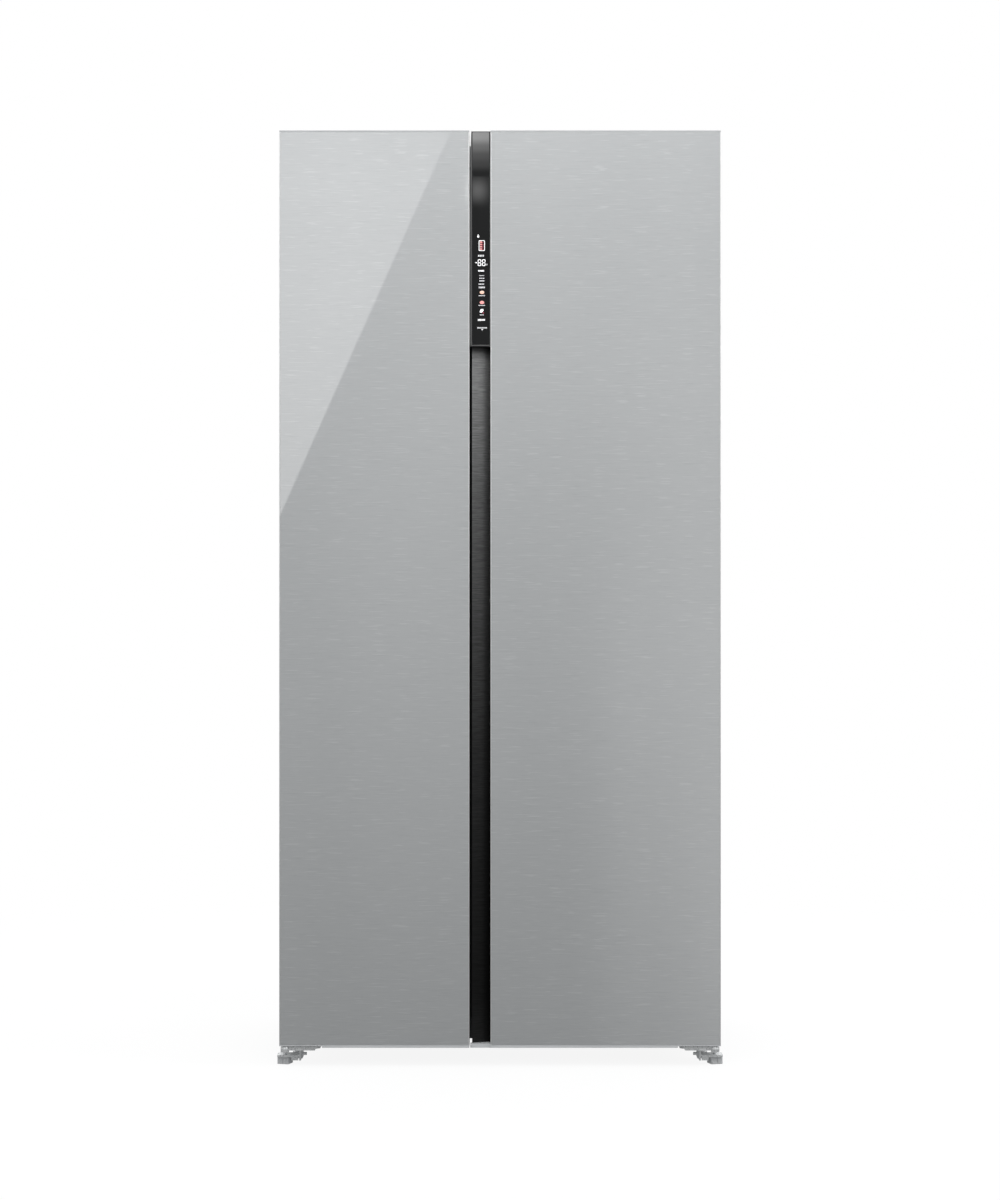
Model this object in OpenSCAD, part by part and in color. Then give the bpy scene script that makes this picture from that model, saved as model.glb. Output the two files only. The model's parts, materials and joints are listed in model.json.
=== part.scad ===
// Side by side refrigerator. The freezer door is on the left and the fridge door on the right,
// with a touch display and a grip channel between them. Millimetres, +Z up, the front faces -Y,
// and the origin is on the floor below the middle of the outline.

/* [Cabinet] */
// Width over the two doors
body_w = 836; // [820:2:860]
// Height from the floor to the top of the doors
body_h = 1773; // [1751:2:1801]
// Depth from the door glass to the ribs of the back panel
body_d = 656; // [646:2:690]
// Thickness of the insulated side walls
side_wall = 60; // [58:1:64]
// Thickness of the insulated top and bottom walls
end_wall = 62; // [60:1:66]
// Thickness of the insulated back wall
back_wall = 64; // [58:1:70]
// Width of the insulated wall between the two compartments
mullion_w = 74; // [72:1:78]

/* [Doors] */
// Width of the freezer door
freezer_door_w = 360; // [352:1:368]
// Thickness of a door, from the glass to the inner liner
door_t = 62; // [60:1:66]
// Height of the underside of the doors above the floor
door_bottom = 36; // [36:1:40]
// Width of the grip channel between the two sheets of glass
channel_w = 40; // [38:1:44]
// Gap between the doors and the cabinet, filled by the gaskets
seal_gap = 10; // [9:0.5:12]
// Height of the lower edge of the display
display_bottom = 1365; // [1300:1:1420]

/* [Hinges and feet] */
// Distance of the hinge axis from the side of the door
pivot_inset = 18; // [17:1:20]
// Distance of the hinge axis behind the door glass
pivot_depth = 32; // [32:1:34]
// Width of the levelling foot's knob across its flats
foot_w = 24; // [22:0.5:25]
// Radius of the rear rollers
rear_roller_r = 16; // [14:1:16]

/* [Fittings] */
// Number of shelves in each compartment
shelf_count = 4; // [2:1:4]
// Height of the lowest shelf, which covers the drawers
shelf_base = 452; // [450:1:460]
// Distance from one shelf to the next
shelf_pitch = 300; // [270:5:310]
// Number of bins on each door
bin_count = 5; // [3:1:5]
// Height of the lowest bin
bin_base = 470; // [465:1:490]
// Distance from one bin to the next
bin_pitch = 240; // [200:5:250]

/* [Hidden] */
$fn = 48;

// Sheet and skin thicknesses
steel_t = 1.2;
liner_t = 2;
glass_t = 4;
stile_t = 1.5;
edge_t = 2;
grip_t = 2;

// Outline planes
half_w = body_w / 2;
front_y = -body_d / 2;
rib_h = 6;
panel_y = body_d / 2 - rib_h;
door_back = front_y + door_t;
cab_front = door_back + seal_gap;
cab_half = half_w - 1;
cab_bottom = door_bottom + 7;
cab_top = body_h - 18;
flange_w = 40;

// Sheet over the machine space, and the collar for the mains lead in it
cover_t = 2;
gland_x = -370;
gland_z = 205;
gland_barrel_r = 7;
gland_bore_r = 3.6;

// Edges of the doors
left_edge = -half_w + freezer_door_w;
right_edge = left_edge + channel_w;
right_reach = left_edge + 1.6;
right_body = left_edge + 5;
mid_x = left_edge + 4;

// Compartments: freezer on the left, fridge on the right
freezer_x = [-half_w + side_wall, mid_x - mullion_w / 2];
fridge_x = [mid_x + mullion_w / 2, half_w - side_wall];
room_z = [cab_bottom + end_wall, cab_top - end_wall];
room_back = panel_y - back_wall;
room_r = 14;

// Machine space at the bottom of the back, and the step it makes in the compartments
machine_front = 150;
machine_top = 230;
step_wall = 45;
step_y = machine_front - step_wall;
step_z = machine_top + step_wall;

// Shelves and drawers stand back from the door bins
shelf_front = cab_front + 115;
shelf_back = room_back - 58;
duct_front = room_back - 50;
ledge_w = 8;
ledge_h = 6;
drawer_h = 160;
slide_clear = 0.3;
lower_drawer_z = room_z[0] + ledge_h + 2;
upper_drawer_z = step_z + ledge_h + 1;

// Hinge axes
pivot_x = half_w - pivot_inset;
pivot_y = front_y + pivot_depth;
top_pin_r = 5;
bottom_pin_r = 6;
top_pin_len = 25;
bottom_pin_top = door_bottom + 18;
pin_clear = 0.06;
arm_r = 12;
arm_t = 4;
notch_clear = 3;
notch_floor = cab_top - notch_clear;

// Door end caps: slabs over the whole door, and blocks that hold the pins
bottom_slab = 5;
top_slab = 3;
core_z = [door_bottom + bottom_slab, body_h - top_slab];
pin_block_h = 19;
pin_block_w = 30;

// Grip channel depths behind the face of the glass
lip_back = 10;
channel_shallow = 16;
channel_deep = 28;
left_pocket_w = 16;
left_pocket_back = 38;
right_pocket_w = 14;

// Bottom brackets: the hinge plate lies in a recess under the corner of the door
corner_recess = 3;
recess_w = 81;
hinge_plate_z = [door_bottom - 2.5, door_bottom + 1.5];
washer_top = door_bottom + corner_recess - 0.3;
foot_arm_z = [14, 18.5];
bracket_top_z = [cab_bottom - 4, cab_bottom];
foot_x = half_w - 8;
foot_y = pivot_y + 11;
front_roller_x = half_w - 29;
front_roller_r = 9.5;
front_roller_y = cab_front + 20;
front_roller_z = front_roller_r + 1.3;
rear_roller_x = half_w - 60;
rear_roller_y = panel_y - 50;

// Fan behind the vents of the freezer duct
fan_x = (freezer_x[0] + freezer_x[1]) / 2;
fan_y = room_back - 24;
fan_z = 950;
fan_r = 55;
shaft_r = 3;

// Box from one corner to the opposite one
module block(lo, hi) {
    translate(lo) cube(hi - lo);
}

// Right hand part, or its mirror image on the left when side is negative
module on_side(side) {
    if (side > 0) children();
    else mirror([1, 0, 0]) children();
}

// Rectangle from corner to corner with round corners, as exact arcs
module round_rect(lo, hi, r) {
    union() {
        translate([lo[0] + r, lo[1]]) square([hi[0] - lo[0] - 2 * r, hi[1] - lo[1]]);
        translate([lo[0], lo[1] + r]) square([hi[0] - lo[0], hi[1] - lo[1] - 2 * r]);
        for (x = [lo[0] + r, hi[0] - r], z = [lo[1] + r, hi[1] - r])
            translate([x, z]) circle(r);
    }
}

// Upright plate along Y whose XZ outline has round corners
module upright_block(x, y, z, r) {
    translate([0, y[1], 0]) rotate([90, 0, 0])
        linear_extrude(y[1] - y[0]) round_rect([x[0], z[0]], [x[1], z[1]], r);
}

// ---------- Cabinet ----------

// Painted steel wrap: two sides, the top and the front flanges
module cabinet_shell() {
    color([0.72, 0.73, 0.74]) union() {
        for (s = [-1, 1]) on_side(s) {
            block([cab_half - steel_t, cab_front, cab_bottom], [cab_half, panel_y, cab_top]);
            block([cab_half - flange_w, cab_front, cab_bottom + flange_w],
                  [cab_half, cab_front + steel_t, cab_top]);
        }
        block([-cab_half, cab_front, cab_top - steel_t], [cab_half, panel_y, cab_top]);
        block([-cab_half, cab_front, cab_top - flange_w], [cab_half, cab_front + steel_t, cab_top]);
    }
}

// Galvanised back panel with pressed ribs
module back_panel() {
    rib_w = 34;
    rib_x = [-300, -150, 150, 300];
    color([0.62, 0.64, 0.65]) union() {
        block([-cab_half + steel_t, panel_y - steel_t, machine_top + 4],
              [cab_half - steel_t, panel_y, cab_top - steel_t]);
        for (x = rib_x)
            upright_block([x - rib_w / 2, x + rib_w / 2], [panel_y - steel_t, panel_y + rib_h],
                          [machine_top + 70, cab_top - 110], rib_w / 2 - 1);
    }
}

// Base pan with the lower front rail
module base_pan() {
    color([0.45, 0.46, 0.47]) union() {
        block([-cab_half + steel_t, cab_front, cab_bottom],
              [cab_half - steel_t, panel_y, cab_bottom + steel_t]);
        block([-cab_half + steel_t, cab_front, cab_bottom],
              [cab_half - steel_t, cab_front + steel_t, cab_bottom + flange_w]);
    }
}

// Inside of one compartment with its machine space step, grown outwards
module room(x, grow, front, r) {
    difference() {
        upright_block([x[0] - grow, x[1] + grow], [front, room_back + grow],
                      [room_z[0] - grow, room_z[1] + grow], r + grow);
        block([x[0] - 20, step_y + grow, 0], [x[1] + 20, room_back + 20, step_z - grow]);
    }
}

// Foam between the steel and the two liners, open at the machine space
module insulation_foam() {
    front = cab_front + liner_t;
    color([0.93, 0.86, 0.62]) difference() {
        block([-cab_half + steel_t, front, cab_bottom + steel_t],
              [cab_half - steel_t, panel_y - steel_t, cab_top - steel_t]);
        for (x = [freezer_x, fridge_x]) room_block(x, front - 1);
        block([-body_w, machine_front, 0], [body_w, body_d, machine_top]);
    }
}

// Square cornered space for a liner
module room_block(x, front) {
    difference() {
        block([x[0] - liner_t, front, room_z[0] - liner_t],
              [x[1] + liner_t, room_back + liner_t, room_z[1] + liner_t]);
        block([x[0] - 20, step_y + liner_t, 0], [x[1] + 20, room_back + 20, step_z - liner_t]);
    }
}

// Ledge pair that carries a shelf or a drawer
module ledges(x, y, top) {
    block([x[0] - 1, y[0], top - ledge_h], [x[0] + ledge_w, y[1], top]);
    block([x[1] - ledge_w, y[0], top - ledge_h], [x[1] + 1, y[1], top]);
}

// Vacuum formed liner of one compartment, with its front lip and its ledges
module liner(x, lip_x) {
    color([0.96, 0.97, 0.97]) union() {
        difference() {
            union() {
                room(x, liner_t, cab_front, room_r);
                block([lip_x[0], cab_front, cab_bottom + flange_w],
                      [lip_x[1], cab_front + liner_t, cab_top - flange_w]);
            }
            room(x, 0, cab_front - 1, room_r);
        }
        for (i = [0:shelf_count - 1])
            ledges(x, [shelf_front, shelf_back], shelf_base + i * shelf_pitch);
        ledges(x, [shelf_front, step_y + 40], upper_drawer_z - slide_clear);
        ledges(x, [shelf_front, step_y - 5], lower_drawer_z - slide_clear);
    }
}

// Steel strip that both gaskets close on
module mullion_cover() {
    color([0.80, 0.81, 0.82])
        block([freezer_x[1] + 3, cab_front, cab_bottom + flange_w],
              [fridge_x[0] - 3, cab_front + steel_t, cab_top - flange_w]);
}

// Row of horizontal slots cut through a duct cover
module slots(x, y, w, h, count, pitch, z) {
    for (i = [0:count - 1])
        block([x - w / 2, y - 6, z + i * pitch], [x + w / 2, y + 6, z + i * pitch + h]);
}

// Evaporator cover across the back of the freezer, with the motor and shaft of the fan
module freezer_air_duct() {
    wall = 2.5;
    x = [freezer_x[0] + 1, freezer_x[1] - 1];
    z = [step_z + 1, room_z[1] - room_r];
    grille = fan_r + 8;
    pitch = 12;
    color([0.93, 0.94, 0.95]) union() {
        difference() {
            block([x[0], duct_front, z[0]], [x[1], room_back, z[1]]);
            block([x[0] + wall, duct_front + wall, z[0] + wall], [x[1] - wall, room_back + 1, z[1] - wall]);
            for (i = [-4:4])
                slots(fan_x, duct_front, 2 * sqrt(grille * grille - pow(i * pitch, 2)), 6, 1, 1,
                      fan_z + i * pitch - 3);
            slots(fan_x, duct_front, 150, 8, 4, 18, z[1] - 110);
            slots(fan_x, duct_front, 190, 8, 3, 18, z[0] + 60);
        }
        translate([fan_x, room_back, fan_z]) rotate([90, 0, 0]) cylinder(r = 16, h = 14);
        translate([fan_x, room_back, fan_z]) rotate([90, 0, 0]) cylinder(r = shaft_r, h = 29);
        block([x[0], room_back - 3, fan_z - 5], [x[1], room_back, fan_z + 5]);
    }
}

// Slim air tower in the fridge, with outlets between the shelves
module fridge_air_duct() {
    wall = 2.5;
    x = (fridge_x[0] + fridge_x[1]) / 2;
    w = 170;
    z = [step_z + 30, room_z[1] - 24];
    color([0.93, 0.94, 0.95]) difference() {
        block([x - w / 2, duct_front + 8, z[0]], [x + w / 2, room_back, z[1]]);
        block([x - w / 2 + wall, duct_front + 8 + wall, z[0] + wall],
              [x + w / 2 - wall, room_back + 1, z[1] - wall]);
        for (i = [0:shelf_count - 1])
            slots(x, duct_front + 8, 110, 7, 3, 15, shelf_base + i * shelf_pitch + shelf_pitch / 2);
    }
}

// Finned coil behind the freezer duct cover
module evaporator() {
    x = [freezer_x[0] + 22, freezer_x[1] - 22];
    y = [room_back - 38, room_back];
    z = [600, 820];
    tube_r = 4;
    tubes = 6;
    fins = 15;
    fin_t = 0.8;
    color([0.80, 0.82, 0.84]) union() {
        for (i = [0:tubes - 1])
            translate([x[0], (y[0] + y[1]) / 2, z[0] + (i + 0.5) * (z[1] - z[0]) / tubes])
                rotate([0, 90, 0]) cylinder(r = tube_r, h = x[1] - x[0], $fn = 24);
        for (i = [0:fins - 1]) {
            fin_x = x[0] + 6 + i * (x[1] - x[0] - 12 - fin_t) / (fins - 1);
            block([fin_x, y[0], z[0]], [fin_x + fin_t, y[1], z[1]]);
        }
    }
}

// Axial fan: a hub and seven blades on a shaft along Y
module evaporator_fan() {
    blades = 7;
    hub_r = 17;
    hub_h = 16;
    color([0.20, 0.21, 0.22]) translate([fan_x, fan_y - 1, fan_z]) rotate([90, 0, 0]) difference() {
        union() {
            translate([0, 0, -hub_h / 2]) cylinder(r = hub_r, h = hub_h);
            for (i = [0:blades - 1]) rotate([0, 0, i * 360 / blades])
                translate([(hub_r + fan_r) / 2 - 1, 0, 0]) rotate([32, 0, 0])
                    cube([fan_r - hub_r, 24, 1.6], center = true);
        }
        translate([0, 0, -hub_h / 2 - 1]) cylinder(r = shaft_r + pin_clear, h = hub_h - 1);
    }
}

// Glass shelf with its plastic front and back rails
module shelf(x, level) {
    side_gap = 1.5;
    rail_h = 14;
    rail_drop = 6;
    rail_d = 16;
    color([0.80, 0.88, 0.88]) {
        block([x[0] + side_gap, shelf_front + rail_d, level],
              [x[1] - side_gap, shelf_back - rail_d, level + glass_t]);
        for (y = [[shelf_front, shelf_front + rail_d], [shelf_back - rail_d, shelf_back]])
            difference() {
                block([x[0] + ledge_w + side_gap, y[0], level - rail_drop],
                      [x[1] - ledge_w - side_gap, y[1], level + rail_h - rail_drop]);
                block([x[0], y[0] + 3, level - rail_drop - 1], [x[1], y[1] - 3, level - 3]);
            }
    }
}

// Lamp lens under the ceiling of a compartment
module lamp(x) {
    mid = (x[0] + x[1]) / 2;
    color([0.98, 0.98, 0.94])
        translate([0, 0, room_z[1] - 7]) linear_extrude(7)
            round_rect([mid - 70, -80], [mid + 70, -40], 8);
}

// ---------- Machine space ----------

// Hermetic compressor on its mounting plate, with terminal box and pipe stubs
module compressor() {
    x = 190;
    y = 228;
    can_r = 62;
    can_z = 52;
    can_h = 150;
    plate_z = cab_bottom + steel_t;
    color([0.12, 0.12, 0.13]) union() {
        intersection() {
            translate([x, y, can_z]) cylinder(r = can_r, h = can_h);
            translate([x, y, can_z + can_h / 2]) sphere(r = can_r + 22);
        }
        block([x - 90, y - 45, can_z + 4], [x + 90, y + 45, can_z + 8]);
        for (dx = [-78, 78], dy = [-33, 33])
            translate([x + dx, y + dy, plate_z]) cylinder(r = 9, h = can_z + 4 - plate_z);
        block([x - can_r - 26, y - 28, can_z + 40], [x - can_r + 12, y + 28, can_z + 100]);
        for (a = [30, 75]) rotate_about([x, y], a)
            translate([can_r - 4, 0, can_z + 62]) rotate([0, 90, 0]) cylinder(r = 4, h = 26);
    }
}

// Turns its children about an upright line through a point
module rotate_about(centre, angle) {
    translate([centre[0], centre[1], 0]) rotate([0, 0, angle]) children();
}

// Louvred sheet over the machine space
module machine_cover() {
    slot_w = 56;
    slot_h = 8;
    slot_x = [-310, -240, -170, 100, 170, 240, 310];
    slot_z = [70, 95, 120, 145, 170];
    color([0.30, 0.31, 0.32]) difference() {
        block([-cab_half + 6, panel_y, cab_bottom + 4],
              [cab_half - 6, panel_y + cover_t, machine_top + 16]);
        for (x = slot_x, z = slot_z)
            upright_block([x - slot_w / 2, x + slot_w / 2], [panel_y - 1, panel_y + cover_t + 1],
                          [z, z + slot_h], slot_h / 2 - 0.1);
        translate([gland_x, panel_y - 1, gland_z]) rotate([-90, 0, 0])
            cylinder(r = gland_barrel_r + 0.1, h = cover_t + 2);
    }
}

// Collar where the mains lead leaves the machine space
module cord_gland() {
    inner = 6;
    outer = 3.5;
    color([0.10, 0.10, 0.11]) translate([gland_x, panel_y + cover_t, gland_z]) rotate([-90, 0, 0])
        difference() {
            union() {
                cylinder(r = 13, h = 2);
                translate([0, 0, -inner]) cylinder(r = gland_barrel_r, h = inner + outer);
            }
            translate([0, 0, -inner - 1]) cylinder(r = gland_bore_r, h = inner + outer + 2);
        }
}

// Three copies of its children: two in front, and one behind and between them
module screw_trio(x, y, depth) {
    for (p = [[-19, 0], [19, 0], [0, depth]]) translate([x + p[0], y + p[1], 0]) children();
}

module cylinder_at(z, r, h) {
    translate([0, 0, z]) cylinder(r = r, h = h);
}

// Heads of the screws that hold the hinges, the brackets and the machine cover
module cabinet_screws() {
    head_r = 5;
    head_h = 3;
    color([0.75, 0.75, 0.76]) {
        for (s = [-1, 1]) on_side(s) {
            screw_trio(pivot_x - 15, cab_front + 22, 34) cylinder_at(cab_top + arm_t, head_r, head_h);
            screw_trio(half_w - 41, cab_front + 60, 32)
                cylinder_at(bracket_top_z[0] - head_h, head_r, head_h);
        }
        for (x = [-395, -60, 60, 395])
            translate([x, panel_y + cover_t, machine_top + 8]) rotate([-90, 0, 0]) cylinder(r = 4, h = 2.4);
    }
}

// ---------- Hinges, feet and rollers ----------

// Steel hinge on the cabinet top: a wide plate, an arm over the door and the pin
module top_hinge(side) {
    color([0.78, 0.79, 0.80]) on_side(side) union() {
        linear_extrude_at(cab_top, arm_t) union() {
            translate([pivot_x, pivot_y]) circle(arm_r);
            translate([pivot_x - arm_r, pivot_y]) square([2 * arm_r, cab_front - pivot_y + 10]);
            round_rect([pivot_x - 46, cab_front + 4], [pivot_x + arm_r, cab_front + 72], 6);
        }
        translate([pivot_x, pivot_y, notch_floor - top_pin_len])
            cylinder(r = top_pin_r, h = top_pin_len + notch_clear + 1);
    }
}

// Extrudes upwards from a height
module linear_extrude_at(z, h) {
    translate([0, 0, z]) linear_extrude(h) children();
}

// Plastic cover over the wide plate of a top hinge, open where the arm passes
module hinge_cover(side) {
    x = [pivot_x - 52, cab_half - 2];
    y = [cab_front + 1, cab_front + 80];
    wall = 2;
    color([0.70, 0.71, 0.72]) on_side(side) difference() {
        linear_extrude_at(cab_top, body_h - cab_top - 1) round_rect([x[0], y[0]], [x[1], y[1]], 8);
        linear_extrude_at(cab_top - 1, body_h - cab_top - wall)
            round_rect([x[0] + wall, y[0] + wall], [x[1] - wall, y[1] - wall], 6);
        block([pivot_x - arm_r - 1, y[0] - 1, cab_top - 1],
              [pivot_x + arm_r + 1, y[0] + wall + 4, cab_top + arm_t + 1]);
    }
}

// Pressed bracket at a bottom corner: hinge plate and pin, arm for the foot, web with the roller's axle
module bottom_bracket(side) {
    color([0.72, 0.73, 0.74]) on_side(side) difference() {
        union() {
            hinge_plate();
            bracket_web();
            foot_arm();
            translate([pivot_x, pivot_y, hinge_plate_z[0]])
                cylinder(r = bottom_pin_r, h = bottom_pin_top - hinge_plate_z[0]);
            translate([pivot_x, pivot_y, hinge_plate_z[0]])
                cylinder(r = bottom_pin_r + 5, h = washer_top - hinge_plate_z[0]);
        }
        translate([foot_x, foot_y, 0]) cylinder(r = 4 + pin_clear, h = 20);
    }
}

// Hinge plate with its turned down front lip, the two bosses pressed in the lip, and the part
// that is bolted under the cabinet
module hinge_plate() {
    x = [half_w - 77, half_w - 3];
    y = [front_y + 6, cab_front + 6];
    lip_t = 3;
    lip_bottom = hinge_plate_z[0] - 3.5;
    corner = 6;
    linear_extrude_at(hinge_plate_z[0], hinge_plate_z[1] - hinge_plate_z[0]) polygon([
        [x[0] + corner, y[0]], [x[1] - corner, y[0]], [x[1], y[0] + corner],
        [x[1], y[1]], [x[0], y[1]], [x[0], y[0] + corner]
    ]);
    translate([0, y[0] + lip_t, 0]) rotate([90, 0, 0]) linear_extrude(lip_t) polygon([
        [x[0] + corner + 4, lip_bottom], [x[1] - corner, lip_bottom],
        [x[1] - corner, hinge_plate_z[1]], [x[0] + corner, hinge_plate_z[1]]
    ]);
    translate([half_w - 10, y[0] + lip_t, lip_bottom - 3])
        cylinder(r = 8, h = hinge_plate_z[1] - lip_bottom + 2);
    block([half_w - 41, y[0] - 2, lip_bottom], [half_w - 25, y[0] + 1, hinge_plate_z[1] - 1]);
    block([x[0], cab_front + 2, hinge_plate_z[0]], [x[1], y[1], cab_bottom]);
    block([x[0], cab_front + 2, bracket_top_z[0]], [x[1], cab_front + 106, bracket_top_z[1]]);
}

// Upright web between the hinge plate and the foot arm. The axle of the front roller passes through
// it, with a plain end on the inner side and a head outside the roller
module bracket_web() {
    x = [half_w - 39, half_w - 36];
    axle_end = x[0] - 7;
    axle_head = front_roller_x + 7.3;
    block([x[0], pivot_y - 8, foot_arm_z[0] - 6], [x[1], cab_front + 6, hinge_plate_z[0]]);
    block([x[0], cab_front + 2, 4], [x[1], cab_front + 34, bracket_top_z[0]]);
    translate([axle_end, front_roller_y, front_roller_z]) rotate([0, 90, 0])
        cylinder(r = 3, h = axle_head - axle_end + 1);
    translate([axle_head, front_roller_y, front_roller_z]) rotate([0, 90, 0])
        cylinder(r = 4.5, h = 2);
}

// Arm that carries the levelling foot, with a short lip turned down beside the web
module foot_arm() {
    x = [half_w - 39, foot_x + 14];
    y = [foot_y - 17, foot_y + 16];
    linear_extrude_at(foot_arm_z[0], foot_arm_z[1] - foot_arm_z[0])
        round_rect([x[0], y[0]], [x[1], y[1]], 5);
    block([x[0] + 5, y[0], foot_arm_z[0] - 6], [x[0] + 18, y[0] + 3, foot_arm_z[1]]);
}

// Levelling foot: a square knob with round corners and finger grooves, on a steel stud
module foot(side) {
    knob_top = foot_arm_z[0] - 0.4;
    half = foot_w / 2;
    chamfer = 2.5;
    color([0.62, 0.63, 0.64]) on_side(side) translate([foot_x, foot_y, 0]) union() {
        rotate([0, 0, 17]) difference() {
            linear_extrude(knob_top) round_rect([-half, -half], [half, half], 3);
            for (a = [0:90:270]) rotate([0, 0, a]) {
                translate([half + 1.2, 0, -1]) cylinder(r = 2.2, h = knob_top - 3);
                translate([half, 0, -chamfer]) rotate([0, 45, 0])
                    cube([2 * chamfer, 4 * half, 2 * chamfer], center = true);
            }
        }
        translate([0, 0, 2]) cylinder(r = 4, h = foot_arm_z[1] + 1);
    }
}

// Plain roller on an axle along X
module roller(x, y, z, r, w, bore_r) {
    color([0.24, 0.24, 0.25]) translate([x, y, z]) rotate([0, 90, 0]) difference() {
        union() {
            cylinder(r = r, h = w - 3, center = true);
            cylinder(r = bore_r + 3.5, h = w, center = true);
        }
        cylinder(r = bore_r + pin_clear, h = w + 2, center = true);
    }
}

// Two forks under the back of the base pan, each with its axle
module rear_roller_brackets() {
    ear_gap = 11;
    ear_t = 2.5;
    color([0.72, 0.73, 0.74]) for (s = [-1, 1]) on_side(s) union() {
        for (x = [rear_roller_x - ear_gap - ear_t, rear_roller_x + ear_gap])
            block([x, rear_roller_y - 14, rear_roller_r - 7], [x + ear_t, rear_roller_y + 14, cab_bottom]);
        block([rear_roller_x - ear_gap - ear_t, rear_roller_y - 26, cab_bottom - 2],
              [rear_roller_x + ear_gap + ear_t, rear_roller_y + 26, cab_bottom]);
        translate([rear_roller_x, rear_roller_y, rear_roller_r]) rotate([0, 90, 0])
            cylinder(r = 3, h = 2 * (ear_gap + ear_t) + 3, center = true);
    }
}

// ---------- Drawers ----------

// Open topped drawer with a finger recess in its front
module drawer(x, y, z) {
    wall = 2.5;
    front_t = 4;
    mid = (x[0] + x[1]) / 2;
    color([0.85, 0.90, 0.93]) difference() {
        block([x[0], y[0], z], [x[1], y[1], z + drawer_h]);
        block([x[0] + wall, y[0] + front_t, z + wall], [x[1] - wall, y[1] - wall, z + drawer_h + 1]);
        upright_block([mid - 55, mid + 55], [y[0] - 1, y[0] + front_t + 1],
                      [z + drawer_h - 20, z + drawer_h + 20], 10);
    }
}

// ---------- Doors ----------

// Notch in the hinge corner of a door's top, swept by the hinge arm
module hinge_notch(side) {
    on_side(side)
        block([pivot_x - arm_r - 2, pivot_y - 24, notch_floor], [half_w + 1, door_back + 1, body_h + 1]);
}

// Sheet of glass over the whole front of a door
module door_glass(x) {
    color([0.66, 0.68, 0.69]) block([x[0], front_y, core_z[0]], [x[1], front_y + glass_t, core_z[1]]);
}

// Slim metal edges: the full depth stile at the hinge, and the edge strip at the grip
module door_frame(side, outer, strip) {
    color([0.76, 0.77, 0.78]) {
        difference() {
            block([outer[0], front_y, core_z[0]], [outer[1], door_back, core_z[1]]);
            hinge_notch(side);
        }
        block([strip[0], front_y, core_z[0]], [strip[1], front_y + lip_back - grip_t, core_z[1]]);
    }
}

// Block of an end cap around a pin, between the glass and the door liner
module pin_block(side, z) {
    on_side(side)
        block([pivot_x - pin_block_w, front_y + glass_t, z[0]],
              [half_w - stile_t, door_back - liner_t, z[1]]);
}

module bottom_pin_block(side) {
    pin_block(side, [core_z[0], core_z[0] + pin_block_h]);
}

module top_pin_block(side) {
    pin_block(side, [core_z[1] - 2.5 * pin_block_h, core_z[1]]);
}

// Bottom cap: a slab with this outline, and the block with the bore for the bracket's pin. The slab
// is thinner at the hinge corner, above the bracket's plate
module bottom_cap(side, outline) {
    difference() {
        union() {
            linear_extrude_at(door_bottom, bottom_slab) polygon(outline);
            bottom_pin_block(side);
        }
        on_side(side) block([half_w - recess_w, front_y - 1, door_bottom - 1],
                            [half_w + 1, door_back + 1, door_bottom + corner_recess]);
        on_side(side) translate([pivot_x, pivot_y, door_bottom - 1])
            cylinder(r = bottom_pin_r + pin_clear, h = bottom_pin_top + 2 - door_bottom + 1);
    }
}

// Top cap: a slab with this outline, and the block with the notch and the bore for the hinge
module top_cap(side, outline) {
    difference() {
        union() {
            linear_extrude_at(core_z[1], top_slab) polygon(outline);
            top_pin_block(side);
        }
        hinge_notch(side);
        on_side(side) translate([pivot_x, pivot_y, notch_floor - top_pin_len - 2])
            cylinder(r = top_pin_r + pin_clear, h = top_pin_len + 3);
    }
}

// Upright solid between the end caps from a plan outline, cut back for the pin blocks
module between_caps(outline, side) {
    difference() {
        linear_extrude_at(core_z[0], core_z[1] - core_z[0]) polygon(outline);
        bottom_pin_block(side);
        top_pin_block(side);
    }
}

module left_door_end_caps() {
    outline = [[-half_w, front_y], [left_edge, front_y], [left_edge, door_back], [-half_w, door_back]];
    color([0.80, 0.81, 0.82]) {
        bottom_cap(-1, outline);
        top_cap(-1, outline);
    }
}

// Foam core of the freezer door, cut back for the finger pocket
module left_door_core() {
    back = door_back - liner_t;
    pocket = left_edge - left_pocket_w - grip_t;
    pocket_back = front_y + left_pocket_back + grip_t;
    lip = front_y + lip_back - grip_t;
    color([0.93, 0.86, 0.62]) between_caps([
        [-half_w + stile_t, front_y + glass_t], [left_edge - edge_t, front_y + glass_t],
        [left_edge - edge_t, lip], [pocket, lip], [pocket, pocket_back], [left_edge - grip_t, pocket_back],
        [left_edge - grip_t, back], [-half_w + stile_t, back]
    ], -1);
}

// Dark profile that lines the finger pocket of the freezer door
module left_door_grip() {
    back = door_back - liner_t;
    inner = left_edge - left_pocket_w;
    y = [front_y + lip_back - grip_t, front_y + lip_back,
         front_y + left_pocket_back, front_y + left_pocket_back + grip_t];
    color([0.13, 0.13, 0.14]) between_caps([
        [left_edge, y[0]], [left_edge, y[1]], [inner, y[1]], [inner, y[2]], [left_edge, y[2]],
        [left_edge, back], [left_edge - grip_t, back], [left_edge - grip_t, y[3]],
        [inner - grip_t, y[3]], [inner - grip_t, y[0]]
    ], -1);
}

// Line of the channel's sloping floor at a distance x, from its left corner to the glass edge
function floor_y(x) = front_y + channel_shallow
    + (x - right_body) * (channel_deep - channel_shallow) / (right_edge - right_body);

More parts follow.
